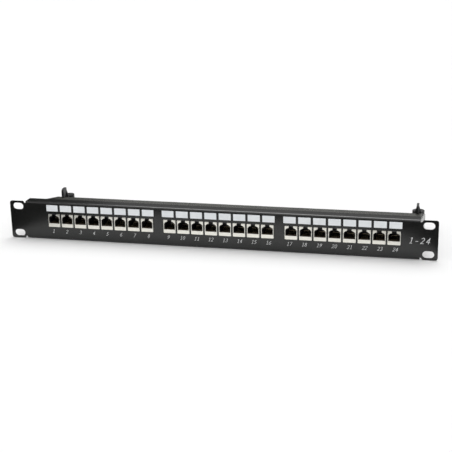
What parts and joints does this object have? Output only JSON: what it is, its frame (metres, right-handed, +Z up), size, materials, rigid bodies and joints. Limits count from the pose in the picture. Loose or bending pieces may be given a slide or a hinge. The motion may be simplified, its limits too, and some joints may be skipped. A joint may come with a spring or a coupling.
{
  "type": "patch panel",
  "caption": "Rack-mount patch panel with shielded modular sockets in front, punch-down blocks on boards in a rear tray, and a latched cable bar.",
  "frame": {"origin": "bottom centre of the whole panel's box", "axes": "+X right along the front plate as seen from the front, +Y back into the rack, +Z up"},
  "size_m": [0.485, 0.1188, 0.044],
  "materials": {
    "black_steel": "fine-textured black powder coat",
    "nickel_shell": "warm nickel plate on the socket shells",
    "white_film": "matt white writing film",
    "green_board": "green solder mask",
    "block_plastic": "moulded off-white plastic",
    "black_nylon": "moulded black nylon",
    "zinc_plate": "bright zinc plate",
    "brass_spacer": "turned brass",
    "socket_plastic": "black insulating insert inside each socket",
    "contact_gold": "gold-plated contacts",
    "solder": "tinned joints and forks",
    "white_print": "screen-printed numbers"
  },
  "bodies": {
    "chassis": {"front_panel": "black_steel", "rear_tray": "black_steel", "jack_01": "nickel_shell", "jack_02": "nickel_shell", "jack_03": "nickel_shell", "jack_04": "nickel_shell", "jack_05": "nickel_shell", "jack_06": "nickel_shell", "jack_07": "nickel_shell", "jack_08": "nickel_shell", "jack_09": "nickel_shell", "jack_10": "nickel_shell", "jack_11": "nickel_shell", "jack_12": "nickel_shell", "jack_13": "nickel_shell", "jack_14": "nickel_shell", "jack_15": "nickel_shell", "jack_16": "nickel_shell", "jack_17": "nickel_shell", "jack_18": "nickel_shell", "jack_19": "nickel_shell", "jack_20": "nickel_shell", "jack_21": "nickel_shell", "jack_22": "nickel_shell", "jack_23": "nickel_shell", "jack_24": "nickel_shell", "label_strip_1": "white_film", "label_strip_2": "white_film", "label_strip_3": "white_film", "circuit_board_1": "green_board", "circuit_board_2": "green_board", "circuit_board_3": "green_board", "standoff_1": "brass_spacer", "standoff_2": "brass_spacer", "standoff_3": "brass_spacer", "standoff_4": "brass_spacer", "standoff_5": "brass_spacer", "standoff_6": "brass_spacer", "idc_block_01": "block_plastic", "idc_block_02": "block_plastic", "idc_block_03": "block_plastic", "idc_block_04": "block_plastic", "idc_block_05": "block_plastic", "idc_block_06": "block_plastic", "idc_block_07": "block_plastic", "idc_block_08": "block_plastic", "idc_block_09": "block_plastic", "idc_block_10": "block_plastic", "idc_block_11": "block_plastic", "idc_block_12": "block_plastic", "tray_screw_1": "zinc_plate", "tray_screw_2": "zinc_plate", "ground_stud": "zinc_plate", "ground_nut": "brass_spacer"},
    "bar": {"cable_bar": "black_steel", "latch_pivot_left": "zinc_plate", "latch_pivot_right": "zinc_plate"},
    "left_latch": {"latch_left": "black_nylon"},
    "right_latch": {"latch_right": "black_nylon"}
  },
  "joints": [
    {"name": "bar_slide", "type": "slide", "parent": "chassis", "child": "bar", "axis": [0, 1, 0], "range_m": [0, 0.012]},
    {"name": "left_latch_turn", "type": "hinge", "parent": "bar", "child": "left_latch", "pos_m": [-0.2153, 0.0524, 0.016], "axis": [0, 0, 1], "range_deg": [0, 90]},
    {"name": "right_latch_turn", "type": "hinge", "parent": "bar", "child": "right_latch", "pos_m": [0.2153, 0.0524, 0.016], "axis": [0, 0, -1], "range_deg": [0, 90]}
  ]
}
